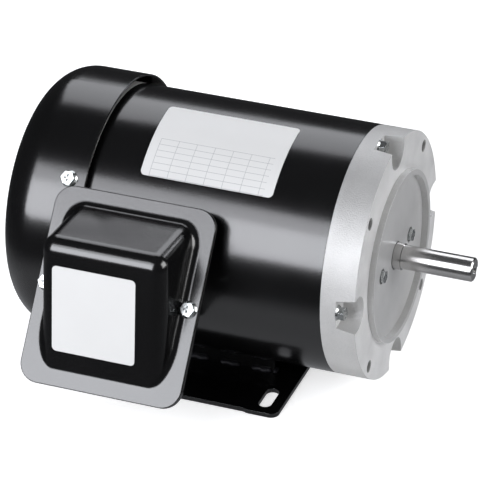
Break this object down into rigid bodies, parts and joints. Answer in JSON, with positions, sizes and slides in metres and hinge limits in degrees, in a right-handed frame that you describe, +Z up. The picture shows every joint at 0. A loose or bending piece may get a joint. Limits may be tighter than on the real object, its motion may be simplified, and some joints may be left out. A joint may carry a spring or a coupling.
{
  "type": "electric motor",
  "caption": "Foot-mounted, C-face, fan-cooled electric motor with a wedge-split terminal box, a plain keyed shaft and a ribless steel shell.",
  "frame": {"origin": "on the shaft axis, in the plane of the machined C-face", "axes": "+X along the shaft towards its output end, +Z up from the feet, terminal box on the -Y side"},
  "size_m": [0.2971, 0.2405, 0.1791],
  "materials": {
    "black_paint": "semi-gloss",
    "cast_aluminium": "sand-cast with machined faces",
    "ground_steel": "ground",
    "bearing_steel": "polished",
    "pressed_steel": "pressed",
    "zinc_plate": "zinc plated",
    "lamination_steel": "stacked laminations",
    "copper_windings": "varnished copper wire",
    "fan_plastic": "moulded",
    "board_plastic": "moulded phenolic",
    "black_rubber": "matte",
    "brass_terminals": "plain",
    "white_label": "satin sticker"
  },
  "bodies": {
    "housing": {"motor_shell": "black_paint", "fan_cover": "black_paint", "base_plate": "black_paint", "left_base_rail": "black_paint", "right_base_rail": "black_paint", "terminal_box_cover": "black_paint", "terminal_box_base": "black_paint", "box_saddle": "black_paint", "drive_end_shield": "cast_aluminium", "rear_end_shield": "cast_aluminium", "bearing_retainer": "ground_steel", "drive_bearing_outer_ring": "bearing_steel", "rear_bearing_outer_ring": "bearing_steel", "drive_bearing_shields": "pressed_steel", "rear_bearing_shields": "pressed_steel", "preload_spring": "pressed_steel", "through_bolts": "zinc_plate", "retainer_screws": "zinc_plate", "fan_cover_screws": "zinc_plate", "terminal_cover_screws": "zinc_plate", "box_mounting_screws": "zinc_plate", "stator_core": "lamination_steel", "stator_windings": "copper_windings", "terminal_board": "board_plastic", "terminal_box_gasket": "black_rubber", "lead_grommet": "black_rubber", "lead_bundle": "black_rubber", "terminal_studs": "brass_terminals", "terminal_nuts": "brass_terminals", "nameplate": "white_label", "cover_label": "white_label"},
    "rotor": {"shaft": "ground_steel", "rotor_core": "lamination_steel", "rotor_cage": "cast_aluminium", "drive_bearing_inner_ring": "bearing_steel", "rear_bearing_inner_ring": "bearing_steel", "shaft_slinger": "black_rubber", "cooling_fan": "fan_plastic", "fan_clip": "pressed_steel"},
    "drive_ball_set": {"drive_bearing_balls": "bearing_steel", "drive_bearing_cage": "pressed_steel"},
    "rear_ball_set": {"rear_bearing_balls": "bearing_steel", "rear_bearing_cage": "pressed_steel"}
  },
  "joints": [
    {"name": "rotor_spin", "type": "hinge", "parent": "housing", "child": "rotor", "pos_m": [0, 0, 0], "axis": [1, 0, 0], "continuous": true},
    {"name": "drive_ball_orbit", "type": "hinge", "parent": "housing", "child": "drive_ball_set", "pos_m": [-0.0165, 0, 0], "axis": [1, 0, 0], "continuous": true},
    {"name": "rear_ball_orbit", "type": "hinge", "parent": "housing", "child": "rear_ball_set", "pos_m": [-0.184, 0, 0], "axis": [1, 0, 0], "continuous": true}
  ],
  "couplings": [
    {"joint": "drive_ball_orbit", "follows": "rotor_spin", "ratio": 0.3815},
    {"joint": "rear_ball_orbit", "follows": "rotor_spin", "ratio": 0.3818}
  ]
}
